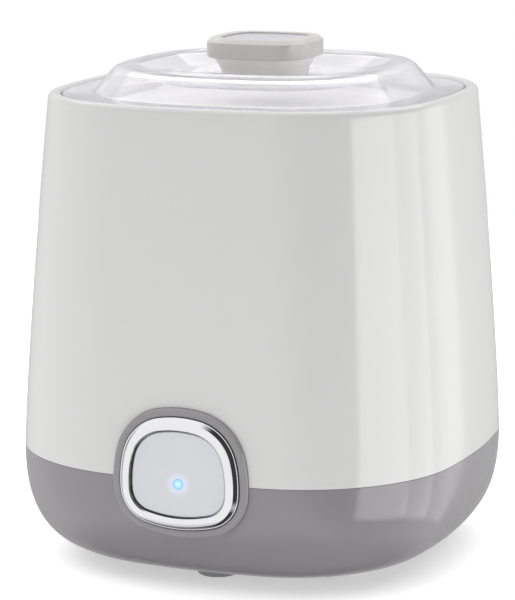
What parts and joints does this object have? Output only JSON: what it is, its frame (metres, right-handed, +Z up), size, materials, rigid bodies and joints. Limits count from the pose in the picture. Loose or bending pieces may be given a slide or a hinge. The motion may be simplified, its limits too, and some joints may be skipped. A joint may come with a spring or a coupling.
{
  "type": "yogurt maker",
  "caption": "Rounded-square electric yogurt maker: lidded pot in a warm well, clear domed lid with a knob, and a press button in a chrome ring on the front.",
  "frame": {"origin": "on the table, below the middle of the housing", "axes": "+Z up; the control panel faces -Y; +X is to the right of someone facing the panel"},
  "size_m": [0.168, 0.173, 0.1919],
  "materials": {
    "shell_white": "gloss",
    "base_grey": "gloss",
    "liner_white": "satin",
    "screw_steel": "satin",
    "rubber": "matte",
    "heating_plate": "satin",
    "silicone": "matte",
    "heater": "matte",
    "black_plastic": "matte",
    "board_green": "satin",
    "capacitor": "gloss",
    "terminal": "matte",
    "wire_sleeve": "matte",
    "frame_grey": "satin",
    "chrome": "polished",
    "lamp": "gloss",
    "button_plate": "satin",
    "light_window": "gloss",
    "pot": "gloss",
    "pot_lid": "satin",
    "lid_clear": "gloss",
    "knob_grey": "gloss",
    "knob_cap": "satin"
  },
  "bodies": {
    "housing": {"outer_shell": "shell_white", "base_shell": "base_grey", "well_liner": "liner_white", "closing_screws": "screw_steel", "rubber_feet": "rubber", "cord_gland": "rubber", "heating_plate": "heating_plate", "plate_seal": "silicone", "heater_element": "heater", "heater_clamp": "screw_steel", "clamp_screws": "screw_steel", "thermostat": "black_plastic", "thermal_fuse": "screw_steel", "fuse_clip": "screw_steel", "control_board": "board_green", "board_screws": "screw_steel", "relay": "black_plastic", "transformer": "black_plastic", "filter_capacitor": "capacitor", "smoothing_capacitor": "capacitor", "terminal_block": "terminal", "heater_leads": "wire_sleeve", "signal_lead": "wire_sleeve", "panel_frame": "frame_grey", "chrome_ring": "chrome", "switch_carrier": "black_plastic", "carrier_screws": "screw_steel", "switch_board": "board_green", "tact_switch": "black_plastic", "led_lamp": "lamp"},
    "button": {"power_button": "button_plate", "light_guide": "light_window", "switch_plunger": "black_plastic"},
    "pot": {"yogurt_pot": "pot"},
    "pot_lid": {"pot_lid": "pot_lid", "pot_lid_seal": "silicone"},
    "lid": {"dome_lid": "lid_clear", "lid_knob": "knob_grey", "knob_cap": "knob_cap", "knob_washer": "silicone", "knob_screw": "screw_steel"}
  },
  "joints": [
    {"name": "pot_lift", "type": "slide", "parent": "housing", "child": "pot", "axis": [0, 0, 1], "range_m": [0, 0.14]},
    {"name": "pot_lid_lift", "type": "slide", "parent": "pot", "child": "pot_lid", "axis": [0, 0, 1], "range_m": [0, 0.08]},
    {"name": "lid_lift", "type": "slide", "parent": "pot_lid", "child": "lid", "axis": [0, 0, 1], "range_m": [0, 0.1]},
    {"name": "button_press", "type": "slide", "parent": "housing", "child": "button", "axis": [0, 1, 0], "range_m": [0, 0.0012], "stiffness_N_per_m": 1500, "springref_m": -0.0005}
  ]
}
